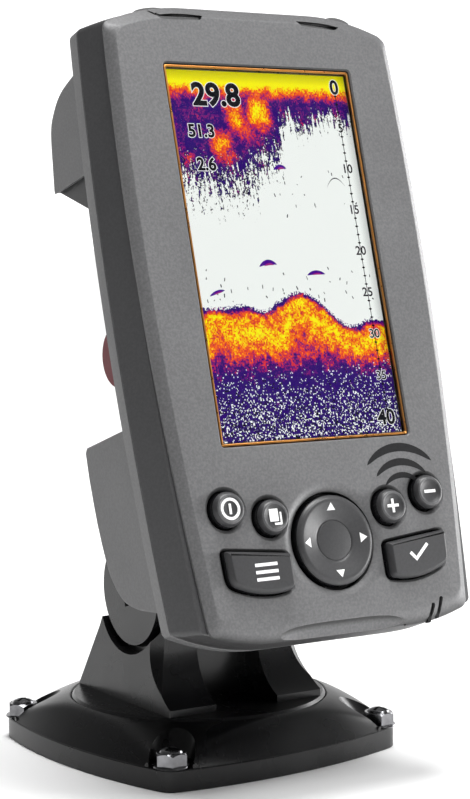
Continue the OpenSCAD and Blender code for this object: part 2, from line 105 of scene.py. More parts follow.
class Wire:
    """One output of a node. Sums and products of wires add the nodes that work them out."""

    def __init__(self, socket):
        self.socket = socket
        self.tree = socket.id_data

    def __add__(self, other):
        return maths("ADD", self, other)

    def __sub__(self, other):
        return maths("SUBTRACT", self, other)

    def __rsub__(self, other):
        return maths("SUBTRACT", other, self)

    def __mul__(self, other):
        return maths("MULTIPLY", self, other)

    def __truediv__(self, other):
        return maths("DIVIDE", self, other)

    def below(self, limit):
        return maths("LESS_THAN", self, limit)

    def above(self, limit):
        return maths("GREATER_THAN", self, limit)

    def remap(self, low, high, to_low=0.0, to_high=1.0):
        """Takes low..high to to_low..to_high, clamped."""
        n = add_node(self.tree, "ShaderNodeMapRange", dict(enumerate((self, low, high, to_low, to_high))))
        return Wire(n.outputs[0])

    def scaled(self, scale, shift=(0, 0, 0)):
        n = add_node(self.tree, "ShaderNodeMapping", {"Vector": self, "Scale": scale, "Location": shift})
        return Wire(n.outputs["Vector"])

    def noise(self, scale, detail=3.0, rough=0.55):
        sockets = {"Vector": self, "Scale": scale, "Detail": detail, "Roughness": rough}
        return Wire(add_node(self.tree, "ShaderNodeTexNoise", sockets).outputs["Fac"])

    def parts(self):
        """The x, y and z of a vector."""
        return [Wire(s) for s in add_node(self.tree, "ShaderNodeSeparateXYZ", {0: self}).outputs]

    def dot(self, other):
        n = add_node(self.tree, "ShaderNodeVectorMath", {0: self, 1: other}, operation="DOT_PRODUCT")
        return Wire(n.outputs["Value"])


def feed(node, sockets):
    """Links or sets a node's inputs, each given by name or number."""
    for key, value in sockets.items():
        if isinstance(value, Wire):
            node.id_data.links.new(value.socket, node.inputs[key])
        else:
            node.inputs[key].default_value = value


def add_node(tree, kind, sockets=None, **settings):
    n = tree.nodes.new(kind)
    for key, value in settings.items():
        setattr(n, key, value)
    feed(n, sockets or {})
    return n


def maths(operation, a, b=0.0, clamp=False):
    """One sum of two numbers or wires. At least one of them is a wire."""
    tree = a.tree if isinstance(a, Wire) else b.tree
    return Wire(add_node(tree, "ShaderNodeMath", {0: a, 1: b}, operation=operation,
                         use_clamp=clamp).outputs[0])


def blend(factor, a, b):
    """From colour a to colour b as factor goes from 0 to 1."""
    return Wire(add_node(factor.tree, "ShaderNodeMix", {0: factor, 6: a, 7: b}, data_type="RGBA").outputs[2])


def brightened(colour, value):
    n = add_node(colour.tree, "ShaderNodeHueSaturation", {"Color": colour, "Value": value})
    return Wire(n.outputs["Color"])


def shade(colour, k):
    return tuple(min(1, c * k) for c in colour) + (1,)


def coordinates(tree, stretch=(1, 1, 1)):
    return Wire(add_node(tree, "ShaderNodeTexCoord").outputs["Object"]).scaled(stretch)


def surface_normal(tree):
    return Wire(add_node(tree, "ShaderNodeNewGeometry").outputs["Normal"])


def new_material(name):
    m = bpy.data.materials.new(name)
    m.use_nodes = True
    return m, m.node_tree, m.node_tree.nodes["Principled BSDF"]


def add_bump(bsdf, height, strength, distance):
    sockets = {"Height": height, "Strength": strength, "Distance": distance}
    feed(bsdf, {"Normal": Wire(add_node(bsdf.id_data, "ShaderNodeBump", sockets).outputs[0])})


def worn_edges(tree, radius=0.00035):
    """1 along outer edges, 0 on flats and in grooves."""
    soft = Wire(add_node(tree, "ShaderNodeBevel", {"Radius": radius}, samples=4).outputs[0])
    return soft.dot(surface_normal(tree)).remap(0.995, 0.9)


def moulded(name, colour, rough=0.5, grain=0.0, grain_size=0.35, metal=0.0, coat=0.0, wear=0.25,
            mottle=0.06, level=0.5, under=1.0):
    """Moulded or painted surface: fine grain, slow colour and gloss change, rubbed edges, faint scratches.

    under is how much of its brightness a face keeps where it looks down: painted shade on the faces turned to
    the floor.
    """
    m, tree, bsdf = new_material(name)
    place = coordinates(tree)
    slow = place.noise(45)
    flake = place.noise(1600, 1.0).remap(0.35, 0.7, -mottle * 1.6, mottle * 1.6)
    tone = brightened(blend(slow, shade(colour, 1 - mottle), shade(colour, 1 + mottle)), flake + 1.0)
    if wear:
        rub = worn_edges(tree) * place.noise(260, 4.0).remap(0.42, 0.68)
        lighter = tuple(c + (1 - c) * 0.22 for c in colour) + (1,)
        tone = blend(rub * wear, tone, lighter)
    # painted shade: faces that look down darken towards under
    if under < 1:
        facing_up = surface_normal(tree).parts()[2]
        tone = brightened(tone, facing_up.remap(-0.05, -0.5, 1.0, under))
    hair = coordinates(tree, (900, 60, 420)).noise(1.0, 5.0, 0.7)
    gloss = slow.remap(0.3, 0.7, rough - 0.05, rough + 0.05) + hair.remap(0.62, 0.75, 0.0, 0.12)
    feed(bsdf, {"Base Color": tone, "Roughness": gloss, "Metallic": metal, "Coat Weight": coat,
                "Coat Roughness": 0.08, "Specular IOR Level": level})
    if grain:
        add_bump(bsdf, place.noise(1000 / grain_size, 2.0), grain, 0.00006)
    return m


def metal(name, colour, rough=0.25, brushed=0.0, tarnish=0.15):
    """Bare or plated metal with fine turning marks, smudges and a little tarnish."""
    m, tree, bsdf = new_material(name)
    slow = coordinates(tree).noise(320, 4.0)
    tone = blend(slow.remap(0.4, 0.75), shade(colour, 1.0), shade(colour, 1 - tarnish))
    gloss = slow.remap(0.3, 0.7, rough * 0.75, rough * 1.3)
    feed(bsdf, {"Base Color": tone, "Roughness": gloss, "Metallic": 1.0})
    if brushed:
        add_bump(bsdf, coordinates(tree, (200, 200, 9000)).noise(1.0, 2.0), brushed, 0.00002)
    return m


def clear_window():
    m, tree, bsdf = new_material("clear_window")
    smear = coordinates(tree).noise(60, 4.0)
    feed(bsdf, {"Transmission Weight": 1.0, "Base Color": (0.97, 0.98, 0.98, 1), "IOR": 1.12,
                "Roughness": smear.remap(0.4, 0.8, 0.0, 0.04)})
    return m


def glowing(name, colour, strength=0.95):
    """Lit parts of the picture, which shine with their own colour."""
    m, tree, bsdf = new_material(name)
    tone = blend(coordinates(tree).noise(3000, 2.0), shade(colour, 0.8), shade(colour, 1.2))
    feed(bsdf, {"Base Color": shade(colour, 0.05), "Specular IOR Level": 0.1, "Emission Color": tone,
                "Emission Strength": strength})
    return m


# ---------------------------------------------------------------- mesh helpers


def loft(rings, capped=True):
    """Skins a row of rings with the same number of points."""
    bm = bmesh.new()
    rows = [[bm.verts.new(p) for p in ring] for ring in rings]
    count = len(rows[0])
    for a, b in zip(rows, rows[1:]):
        for i in range(count):
            j = (i + 1) % count
            bm.faces.new((a[i], a[j], b[j], b[i]))
    if capped:
        bm.faces.new(rows[0][::-1])
        bm.faces.new(rows[-1])
    bmesh.ops.recalc_face_normals(bm, faces=bm.faces)
    return bm


def hoop(rings):
    """Skins a row of rings that comes back to its first ring."""
    bm = loft(rings + [rings[0]], capped=False)
    bmesh.ops.remove_doubles(bm, verts=bm.verts, dist=0.0001)
    bmesh.ops.recalc_face_normals(bm, faces=bm.faces)
    return bm


def revolve(profile, steps=72, at=(0, 0)):
    """Turns (radius, height) points round the z axis. A radius of 0 closes the shape there."""
    bm = bmesh.new()
    rows = []
    for r, h in profile:
        if r == 0:
            rows.append([bm.verts.new((at[0], at[1], h))])
        else:
            rows.append([bm.verts.new((p.x, p.y, h)) for p in circle(r, at, steps)])
    for a, b in zip(rows, rows[1:]):
        for i in range(steps):
            j = (i + 1) % steps
            corners = [a[i % len(a)], a[j % len(a)], b[j % len(b)], b[i % len(b)]]
            bm.faces.new([v for k, v in enumerate(corners) if v not in corners[:k]])
    bmesh.ops.recalc_face_normals(bm, faces=bm.faces)
    return bm


def rounded(corners, radius, steps=6):
    """A polygon with its corners eased by curves. radius is one number or one for each corner."""
    points = []
    count = len(corners)
    radii = radius if isinstance(radius, list) else [radius] * count
    for i, r in enumerate(radii):
        p = Vector(corners[i])
        before = Vector(corners[i - 1])
        after = Vector(corners[(i + 1) % count])
        a = p + (before - p).normalized() * min(r, (before - p).length * 0.49)
        b = p + (after - p).normalized() * min(r, (after - p).length * 0.49)
        points += bend(a, p, b, [s / steps for s in range(steps + 1)])
    return points


def bend(a, corner, b, places):
    """Points of the curve from a to b that leans towards the corner."""
    return [(1 - t) ** 2 * a + 2 * t * (1 - t) * corner + t * t * b for t in places]


def offset(points, distance):
    """Moves a closed outline along its normals: outwards if it runs anticlockwise, inwards if clockwise."""
    moved = []
    for i, p in enumerate(points):
        along = (points[(i + 1) % len(points)] - points[i - 1]).normalized()
        moved.append(p + Vector((along.y, -along.x)) * distance)
    return moved


def lift(points, height):
    return [(p[0], p[1], height) for p in points]


def prism(points, low, high):
    return loft([lift(points, low), lift(points, high)])


def stepped(points, levels):
    """A solid whose outline grows by a distance at each (distance, height)."""
    return loft([lift(offset(points, d), h) for d, h in levels])


def circle(radius, at=(0, 0), steps=64):
    angles = [2 * math.pi * i / steps for i in range(steps)]
    return [Vector((at[0] + radius * math.cos(a), at[1] + radius * math.sin(a))) for a in angles]


def rectangle(x0, y0, x1, y1):
    return [(x0, y0), (x1, y0), (x1, y1), (x0, y1)]


def capsule(a, b, radius, steps=8):
    """Outline of a round-ended slot from a to b."""
    a = Vector(a)
    b = Vector(b)
    heading = math.atan2(b.y - a.y, b.x - a.x)
    points = []
    for end, start in ((b, heading - math.pi / 2), (a, heading + math.pi / 2)):
        for s in range(steps + 1):
            angle = start + math.pi * s / steps
            points.append(end + radius * Vector((math.cos(angle), math.sin(angle))))
    return points


def stroke(spine, thick, power, points):
    """Outline of a stroke thinning to nothing at both ends. spine gives a point and a normal for -1 to 1."""
    over = []
    under = []
    for i in range(points + 1):
        t = -1 + 2 * i / points
        p, normal = spine(t)
        half = thick * (1 - t * t) ** power / 2
        over.append(p + normal * half)
        under.append(p - normal * half)
    return under + over[::-1][1:-1]


def curve_through(points, steps=6):
    """A smooth run through points, Catmull-Rom."""
    result = []
    for i in range(len(points) - 1):
        p0 = Vector(points[max(i - 1, 0)])
        p1 = Vector(points[i])
        p2 = Vector(points[i + 1])
        p3 = Vector(points[min(i + 2, len(points) - 1)])
        for s in range(steps):
            t = s / steps
            result.append(0.5 * ((2 * p1) + (p2 - p0) * t + (2 * p0 - 5 * p1 + 4 * p2 - p3) * t * t
                                 + (3 * p1 - p0 - 3 * p2 + p3) * t ** 3))
    result.append(Vector(points[-1]))
    return result


def joined(parts):
    """One bmesh holding all the parts."""
    whole = bmesh.new()
    for part in parts:
        spare = bpy.data.meshes.new("spare")
        part.to_mesh(spare)
        part.free()
        whole.from_mesh(spare)
        bpy.data.meshes.remove(spare)
    return whole


def mesh_object(name, bm):
    mesh = bpy.data.meshes.new(name)
    bm.to_mesh(mesh)
    bm.free()
    obj = bpy.data.objects.new(name, mesh)
    bpy.context.scene.collection.objects.link(obj)
    return obj


def mesh_back(obj):
    """The shape of an object as a bmesh. The object goes."""
    bm = bmesh.new()
    bm.from_mesh(obj.data)
    bpy.data.objects.remove(obj)
    return bm


def carve(obj, cutter, operation="DIFFERENCE"):
    """Cuts a bmesh out of obj, or joins it on."""
    tool = mesh_object("tool", cutter)
    mod = obj.modifiers.new("carve", "BOOLEAN")
    mod.operation = operation
    mod.solver = "EXACT"
    mod.object = tool
    graph = bpy.context.evaluated_depsgraph_get()
    result = bpy.data.meshes.new_from_object(obj.evaluated_get(graph))
    obj.modifiers.clear()
    obj.data = result
    bpy.data.objects.remove(tool)


def paint(obj, index, test):
    """Gives material number index to the faces whose centre and normal pass the test."""
    for poly in obj.data.polygons:
        if test(poly.center, poly.normal):
            poly.material_index = index


def finish_piece(obj, space, body, materials, replaces=(), sharp=32, weighted=True):
    """Places a piece, dresses it and hands it to the frame."""
    index = [p.material_index for p in obj.data.polygons]
    obj.data.transform(space)
    obj.data.materials.clear()
    for m in materials:
        obj.data.materials.append(m)
    obj.data.polygons.foreach_set("material_index", index)
    obj.data.polygons.foreach_set("use_smooth", [True] * len(index))
    obj.data.set_sharp_from_angle(angle=math.radians(sharp))
    if weighted:
        obj.modifiers.new("even_normals", "WEIGHTED_NORMAL").keep_sharp = True
    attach(obj, body)
    if replaces:
        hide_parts(*replaces)


def finish_print(name, parts, body, material):
    """Thin marks that lie on a piece drawn in FACE space."""
    finish_piece(mesh_object(name, joined(parts)), FACE, body, [material], weighted=False)


# ---------------------------------------------------------------- materials

# the bezel's silver paint, with painted shade on its downward faces (under=0.22)
bezel_paint_and_under_shade = moulded("bezel_paint_and_under_shade", (0.135, 0.135, 0.138), 0.45, 0.5, 0.22, metal=0.15, mottle=0.08,
                      wear=0.5, under=0.22)
band_plastic = moulded("band_plastic", (0.05, 0.05, 0.052), 0.5, 0.35, 0.3, wear=0.2)
catch_plastic = moulded("catch_plastic", (0.1, 0.1, 0.102), 0.45, 0.3, 0.3, wear=0.2)
case_plastic = moulded("case_plastic", (0.118, 0.118, 0.12), 0.45, 0.4, 0.35, wear=0.3)
gloss_black = moulded("gloss_black", (0.0035, 0.0035, 0.004), 0.28, 0.08, 0.6, wear=0.1, mottle=0.2,
                      level=0.4)
key_cap = moulded("key_cap", (0.031, 0.031, 0.033), 0.45, 0.25, 0.25, wear=0.25)
# near-black key sides: painted shade on the sides of the keys and the pad
key_side_shade = moulded("key_side_shade", (0.005, 0.005, 0.006), 0.25, 0.1, 0.3, wear=0.1, mottle=0.15)
# lighter ring on the crest of the round keys: painted highlight
key_rim_highlight = moulded("key_rim_highlight", (0.085, 0.085, 0.088), 0.35, 0.15, 0.25, wear=0.3)
pad_plastic = moulded("pad_plastic", (0.045, 0.045, 0.047), 0.38, 0.2, 0.25, wear=0.25)
white_print = moulded("white_print", (0.9, 0.9, 0.9), 0.5, 0.1, 0.2, wear=0, mottle=0.03)
# dark print for the ripples, also used as painted shade on the floors of the drain slots
dark_print_and_shade = moulded("dark_print_and_shade", (0.008, 0.008, 0.009), 0.6, 0.1, 0.2, wear=0, mottle=0.1, level=0.2)
rubber = moulded("rubber", (0.02, 0.02, 0.02), 0.75, 0.5, 0.5, wear=0.1, mottle=0.2)
silicone = moulded("silicone", (0.16, 0.16, 0.165), 0.6, 0.2, 0.5, wear=0)
lever_plastic = moulded("lever_plastic", (0.13, 0.008, 0.014), 0.4, 0.25, 0.3, wear=0.3, level=0.3)
acetal = moulded("acetal", (0.74, 0.72, 0.66), 0.4, 0.15, 0.4, wear=0)
solder_mask = moulded("solder_mask", (0.02, 0.14, 0.06), 0.25, 0.2, 0.8, coat=0.4, wear=0)
part_black = moulded("part_black", (0.02, 0.02, 0.021), 0.4, 0.3, 0.4, wear=0.1)
part_blue = moulded("part_blue", (0.04, 0.07, 0.22), 0.3, 0.1, 0.4, coat=0.3, wear=0.1)
amber_film = moulded("amber_film", (0.5, 0.22, 0.03), 0.25, 0.1, 0.4, wear=0)
steel = metal("steel", (0.55, 0.55, 0.56), 0.3, 0.4)
chrome = metal("chrome", (0.24, 0.24, 0.25), 0.2, 0.15, 0.4)
brass = metal("brass", (0.72, 0.5, 0.2), 0.25, 0.2)
copper = metal("copper", (0.62, 0.27, 0.07), 0.32, 0.2, 0.2)
window_glass = clear_window()

# ---------------------------------------------------------------- the case outline

BEZEL_BACK = -2.4
SEAM = -10.0
REAR_STRAIGHT = -14.2
REAR_BACK = -17.5
SIDE_WAIST = -6
SIDE_BOW = 1150
FACE_WAIST = 10
FACE_BOW = 1000
END_FLAT = 19
SIDE_POINTS = 26
END_POINTS = 30
CORNER_PLACES = [i / 7 for i in range(1, 7)]


def evenly(start, stop, count):
    return [start + (stop - start) * i / (count - 1) for i in range(count)]


def case_ring(height, half, top, bottom, corner, waist=SIDE_WAIST, bow=SIDE_BOW, sweep=(62, 54)):
    """One closed, anticlockwise outline of the case: bowed sides, ends that sweep away."""
    def side(u):
        return half - (u - waist) ** 2 / (2 * bow)

    def drop(x, radius):
        return max(0.0, abs(x) - END_FLAT) ** 2 / (2 * radius)

    def meet(end, sign, radius):
        u = end
        for _ in range(30):
            u = end - sign * drop(side(u), radius)
        return side(u), u

    top_x, top_u = meet(top, 1, sweep[0])
    low_x, low_u = meet(bottom, -1, sweep[1])
    right = [Vector((side(u), u)) for u in evenly(low_u + corner, top_u - corner, SIDE_POINTS)]
    upper = [Vector((x, top - drop(x, sweep[0]))) for x in evenly(top_x - corner, corner - top_x, END_POINTS)]
    left = [Vector((-p.x, p.y)) for p in reversed(right)]
    lower = [Vector((x, bottom + drop(x, sweep[1]))) for x in evenly(corner - low_x, low_x - corner,
                                                                     END_POINTS)]
    ring = []
    runs = (right, upper, left, lower)
    meetings = ((top_x, top_u), (-top_x, top_u), (-low_x, low_u), (low_x, low_u))
    for run, following, meeting in zip(runs, runs[1:] + runs[:1], meetings):
        ring += run + bend(run[-1], Vector(meeting), following[0], CORNER_PLACES)
    return lift(ring, height)


def face_ring(height, grow_side, grow_top, grow_bottom, corner):
    """The outline of the front face, grown by a distance at the sides, the top and the bottom."""
    return case_ring(height, 41.3 + grow_side, 60.9 + grow_top, -92.5 - grow_bottom, corner,
                     FACE_WAIST, FACE_BOW, (55, 58))


# ---------------------------------------------------------------- keys: places and outlines

ROUND_KEYS = {
    "power_key": (-30.0, -64.0),
    "pages_key": (-17.8, -66.8),
    "plus_key": (17.8, -66.8),
    "minus_key": (30.0, -64.0),
}
PAD_UP = -73.8
PAD_HOLE = 12.3
KEY_HOLE = 4.9
WINDOW_HALF = (28.3, 48.8)


def wing_outline(side):
    """The menu or enter key, anticlockwise: straight top and inner edges, a curved lower edge."""
    centre = Vector((20.5, -60.3))
    radius = 25.0
    inner = Vector((14.4, -75.8))
    outer = Vector((33.0, -73.9))
    low_out = Vector((32.6, -82.2))
    start = math.atan2(-24.2, inner.x - centre.x)
    stop = math.atan2(low_out.y - centre.y, low_out.x - centre.x)
    arc = [centre + radius * Vector((math.cos(a), math.sin(a))) for a in evenly(start, stop, 8)]
    points = rounded([outer, inner] + arc, [1.0, 0.9, 1.3] + [0.4] * 6 + [2.2], 5)
    if side < 0:
        points = [Vector((-p.x, p.y)) for p in reversed(points)]
    return points


# ---------------------------------------------------------------- front bezel

LEAF_LEFT = [(-31.2, 63.9), (-29.8, 62.8), (-28.3, 61.6), (-27.3, 60.6), (-26.2, 60.1), (-20.9, 60.25),
             (-15.3, 60.5), (-14.4, 61.8), (-19.2, 62.1), (-23.6, 62.0), (-26.6, 61.6), (-28.2,
                                                                                         62.3), (-29.6, 63.5)]
LEAF_RIGHT = [(14.1, 61.9), (15.3, 60.45), (20.4, 60.05), (25.7, 59.75), (27.4, 60.7), (24.0, 61.4),
              (21.2, 61.7),
              (15.7, 61.95)]
LEAF_TAIL = -28.25
DRAIN_SLOTS = [((26.9, -92.6), (25.5, -96.4)), ((29.6, -91.2), (28.2, -95.6))]
EDGE_SLOTS = [((7.7, -97.9), (10.3, -97.6)), ((11.6, -97.5), (18.0, -96.9))]
SLOT_RADIUS = 0.55
HOLLOW = rectangle(-36, -90, 36, 56)


def thumb_scoop():
    """A blunt-ended scoop across the bottom edge of the face."""
    half = 22.7
    rings = []
    for i in range(25):
        x = half * math.sin(math.pi / 2 * (i / 12 - 1)) * 0.999
        size = math.sqrt(1 - (x / half) ** 4)
        ring = []
        for spoke in circle(1, steps=40):
            blunt = 1 / (abs(spoke.x) ** 3 + abs(spoke.y) ** 3) ** (1 / 3)
            ring.append((x - 1.2, -98.6 + 5.35 * size * blunt * spoke.x, 1.2 + 3.1 * size * blunt * spoke.y))
        rings.append(ring)
    return loft(rings)


def make_bezel():
    obj = mesh_object("front_shell", loft([
        face_ring(BEZEL_BACK, 1.9, 2.5, 3.6, 1.6),
        face_ring(BEZEL_BACK, 2.65, 3.4, 4.45, 1.8),
        face_ring(-1.7, 2.6, 2.6, 4.3, 1.8),
        face_ring(-1.25, 2.15, 1.95, 3.95, 2.0),
        face_ring(-0.75, 1.45, 1.3, 3.2, 2.3),
        face_ring(-0.36, 0.8, 0.75, 2.25, 2.6),
        face_ring(-0.12, 0.34, 0.33, 1.2, 3.0),
        face_ring(0.0, 0.0, 0.0, 0.0, 3.4),
    ]))
    hw, hh = WINDOW_HALF
    window = rounded(rectangle(-hw, -hh, hw, hh), 1.1)
    cutters = [stepped(window, [(0, -5), (0, -0.35), (0.35, 0.0), (0.55, 0.4)])]
    key_hole = [(0, -5), (KEY_HOLE, -5), (KEY_HOLE, -0.75), (KEY_HOLE + 0.55, -0.2), (KEY_HOLE + 0.95, 0.02),
                (KEY_HOLE + 1.0, 0.5), (0, 0.5)]
    cutters += [revolve(key_hole, 64, at) for at in ROUND_KEYS.values()]
    pad_hole = [(0, -5), (PAD_HOLE, -5), (PAD_HOLE, -0.9), (PAD_HOLE + 0.6, -0.5), (PAD_HOLE + 1.7, -0.12),
                (PAD_HOLE + 2.9, 0.02), (PAD_HOLE + 3.0, 0.5), (0, 0.5)]
    cutters.append(revolve(pad_hole, 96, (0, PAD_UP)))
    wing_hole = [(0.4, -5), (0.4, -0.5), (0.7, -0.15), (1.0, 0.02), (1.0, 0.5)]
    cutters += [stepped(wing_outline(side), wing_hole) for side in (-1, 1)]
    cutters += [prism(rounded(leaf, 0.35, 3), -2.1, 1) for leaf in (LEAF_LEFT, LEAF_RIGHT)]
    cutters += [prism(capsule(a, b, SLOT_RADIUS), -6, 1) for a, b in DRAIN_SLOTS]
    cutters.append(thumb_scoop())
    cutters += [prism(capsule(a, b, SLOT_RADIUS), -6, 1) for a, b in EDGE_SLOTS]
    for cutter in cutters:
        carve(obj, cutter)
    finish_piece(obj, FACE, "head", [bezel_paint_and_under_shade], ["front_bezel"], 28)
    # painted shade: dark floors set in the drain slots where only shade lies
    shade_floors = [prism(capsule(a, b, SLOT_RADIUS - 0.05), -2.3, -0.9) for a, b in DRAIN_SLOTS]
    finish_piece(mesh_object("slot_shade_floors", joined(shade_floors)), FACE, "head", [dark_print_and_shade])


def catch_ridge(x, half, rise, slope):
    """A low ridge over the rim behind a catch pad."""
    crown = 64.2 - (abs(x) - END_FLAT) ** 2 / 124
    rings = []
    for t in evenly(-1, 1, 13):
        across = x + half * t
        top = crown + slope * half * t
        up = rise * (1 - t * t) ** 0.8 + 0.02
        rings.append([(across, top - 1.2, -2.6), (across, top - 1.2, -6.5), (across, top + up * 0.8, -6.5),
                      (across, top + up, -5.5), (across, top + up, -3.6), (across, top + up * 0.7, -2.6)])
    return loft(rings)


def make_inlays():
    """Leaf-shaped catch pads in the top edge, each with its ridge."""
    parts = []
    for leaf, ridge in ((LEAF_LEFT, (-28.6, 4.0, 0.7, 0.13)), (LEAF_RIGHT, (29.0, 3.6, 1.25, -0.13))):
        pad = rounded([p for p in leaf if p[0] > LEAF_TAIL], 0.35, 3)
        parts.append(stepped(pad, [(-0.1, -2.05), (-0.1, -1.2), (-0.35, -1.1)]))
        parts.append(catch_ridge(*ridge))
    obj = mesh_object("catch_pads", joined(parts))
    finish_piece(obj, FACE, "head", [catch_plastic], ["bezel_inlays"], 35)


def make_mid_frame():
    """The dark band round the case. Its underside is painted like the face."""
    obj = mesh_object("side_band", loft([
        case_ring(SEAM, 45.0, 63.0, -95.0, 1.0),
        case_ring(SEAM, 47.25, 65.3, -97.3, 1.1),
        case_ring(SEAM + 0.3, 47.6, 65.6, -97.6, 1.1),
        case_ring(-6.2, 45.9, 64.9, -97.3, 1.1),
        case_ring(BEZEL_BACK - 0.25, 43.7, 64.0, -96.7, 1.1),
        case_ring(BEZEL_BACK - 0.05, 43.3, 63.7, -96.4, 1.1),
        case_ring(BEZEL_BACK - 0.05, 41.0, 61.0, -93.5, 1.1),
    ]))
    carve(obj, prism(HOLLOW, -12, 0))
    paint(obj, 1, lambda c, normal: c.y < -92.4 and c.z > SEAM + 0.1 and normal.y < -0.5)
    finish_piece(obj, FACE, "head", [band_plastic, bezel_paint_and_under_shade], ["mid_frame"], 28)


# ---------------------------------------------------------------- rear shell

HOOD_HALF = 36.9
BLOCK_HALF = 38.3
BULGE_ROOT = 14.0
SCREW_ACROSS = 38.8
SCREW_UPS = (50, -1, -52)


def swept(profile, half, flare, steps=5):
    """A clockwise side profile of (depth, up) points drawn across the case, flaring a little at its ends."""
    turns = [math.pi / 2 * s / steps for s in range(steps + 1)]
    spots = [(-half + flare * (1 - math.cos(a)), flare * (1 - math.sin(a))) for a in turns]
    rings = []
    for x, growth in spots + [(-x, growth) for x, growth in reversed(spots)]:
        rings.append([(x, p.y, -p.x) for p in offset(profile, -growth)])
    return loft(rings)


def hood_profile():
    top = curve_through([(30.0, 55.6), (38.3, 53.5), (43.4, 50.0), (46.4, 45.6), (48.2, 36.0), (49.2, 29.9)])
    return [Vector((BULGE_ROOT, 29.9)), Vector((BULGE_ROOT, 55.6))] + top


def hood_hollow():
    top = curve_through([(30.0, 53.2), (37.2, 51.3), (41.8, 48.0), (44.1, 44.6), (45.8, 36.0), (46.6, 22.0)])
    return [Vector((10.0, 22.0)), Vector((10.0, 53.2))] + top


def block_profile():
    foot = curve_through([(49.9, -47.0), (49.2, -57.0), (47.7, -66.7), (45.8, -73.2), (41.6, -79.0),
                          (36.0, -81.9), (29.3, -83.6), (BULGE_ROOT, -86.5)])
    return [Vector((BULGE_ROOT, -38.0)), Vector((49.3, -39.3)), Vector((49.9, -40.0))] + foot


def make_rear_case():
    obj = mesh_object("rear_shell", loft([
        case_ring(SEAM - 0.06, 45.0, 63.0, -95.0, 1.0),
        case_ring(SEAM - 0.06, 47.2, 65.2, -97.2, 1.1),
        case_ring(SEAM - 0.4, 47.6, 65.6, -97.6, 1.1),
        case_ring(REAR_STRAIGHT, 47.5, 65.5, -97.5, 1.3),
        case_ring(REAR_STRAIGHT - 0.5, 47.2, 65.2, -97.2, 1.7),
        case_ring(REAR_BACK + 0.4, 44.1, 62.1, -94.1, 2.6),
        case_ring(REAR_BACK, 43.4, 61.4, -93.4, 3.0),
    ]))
    carve(obj, swept(hood_profile(), HOOD_HALF, 0.35), "UNION")
    carve(obj, swept(block_profile(), BLOCK_HALF, 0.5), "UNION")
    carve(obj, swept(hood_hollow(), 33.9, 0.6))
    carve(obj, prism(HOLLOW, -15.3, -5))
    carve(obj, prism(rectangle(-14.2, -96, 14.2, -45.4), -60, -40.6))
    carve(obj, prism(rectangle(-18.4, -96, 18.4, -45.4), -47, -43.6))
    screw_hole = [(0, -20), (2.5, -20), (2.3, -14.6), (1.6, -14.6), (1.6, -5), (0, -5)]
    for up in SCREW_UPS:
        for side in (-1, 1):
            carve(obj, revolve(screw_hole, 32, (side * SCREW_ACROSS, up)))
    finish_piece(obj, FACE, "head", [case_plastic], ["rear_case"], 30)


# ---------------------------------------------------------------- base plate and its screws

BASE_HALF = 43.6
BASE_CORNER = 53.8
BASE_WALL = 5.7
BASE_CROWN = 13.9
TABLE_RIM = 35.8
SCREW_OFF = 35
BASE_SIDES = 240
SIDE_RADIUS = 147
CORNER_BLUNT = 0.5
BASE_CORNERS = [(x, y) for x in (-SCREW_OFF, SCREW_OFF) for y in (-SCREW_OFF, SCREW_OFF)]


def base_ring(half, corner, height):
    """The base outline: four bowed sides and blunted corners."""
    ring = []
    for ray in circle(1, steps=BASE_SIDES):
        reaches = [corner]
        for spoke in circle(1, steps=4):
            centre = spoke * (half - SIDE_RADIUS)
            along = ray.dot(centre)
            reaches.append(along + math.sqrt(along * along - centre.length_squared + SIDE_RADIUS ** 2))
        least = min(reaches)
        reach = least - CORNER_BLUNT * math.log(sum(math.exp((least - r) / CORNER_BLUNT) for r in reaches))
        ring.append(ray * reach)
    return lift(ring, height)


def make_base_plate():
    rings = [base_ring(BASE_HALF - s, BASE_CORNER - s, h)
             for s, h in ((0.25, 0), (0, 0.25), (0, BASE_WALL - 0.3), (0.12, BASE_WALL - 0.07))]
    for f in evenly(0, 1, 15):
        rise = (BASE_CROWN - BASE_WALL) * (1 - (1 - f) ** 1.25)
        shrink = 0.35 * (1 - f)
        rings.append(base_ring(BASE_HALF - (BASE_HALF - TABLE_RIM) * f - shrink,
                               BASE_CORNER - (BASE_CORNER - TABLE_RIM) * f - shrink, BASE_WALL + rise))
    rings += [base_ring(TABLE_RIM - s, TABLE_RIM - s, BASE_CROWN + h) for s, h in ((0.3, 0.03), (0.55, -0.2))]
    obj = mesh_object("deck_plate", loft(rings))
    carve(obj, revolve([(0, 8.9), (35.2, 8.9), (35.2, 20), (0, 20)], 160))
    carve(obj, revolve([(0, -1), (13, -1), (13, 5.2), (6, 5.2), (6, 11), (0, 11)], 64))
    carve(obj, loft([base_ring(BASE_HALF - 4, BASE_CORNER - 4.2, h) for h in (-1, 1.2)]))
    for at in BASE_CORNERS:
        inward = Vector(at).normalized() * -5.2
        carve(obj, loft([lift(circle(r, Vector(at) + k * inward), h)
                         for r, k, h in ((5.8, 0, BASE_WALL), (5.8, 0, BASE_WALL + 1.2), (6.3, 1, BASE_CROWN),
                                         (7.5, 1.4, BASE_CROWN + 3))]))
        carve(obj, prism(circle(2.3, at, 32), -1, 8))
        profile = ((5.8, 5.0), (6.7, 5.0), (6.7, 6.2), (6.35, 6.75), (5.95, 6.8), (5.8, 6.6))
        rim = mesh_object("rim", hoop([lift(circle(r, at, 72), h) for r, h in profile]))
        carve(rim, loft([base_ring(BASE_HALF - 0.35, BASE_CORNER - 0.35, h) for h in (4, 9)]), "INTERSECT")
        carve(obj, mesh_back(rim), "UNION")
    finish_piece(obj, BASE, "base", [gloss_black], ["base_plate"], 26)


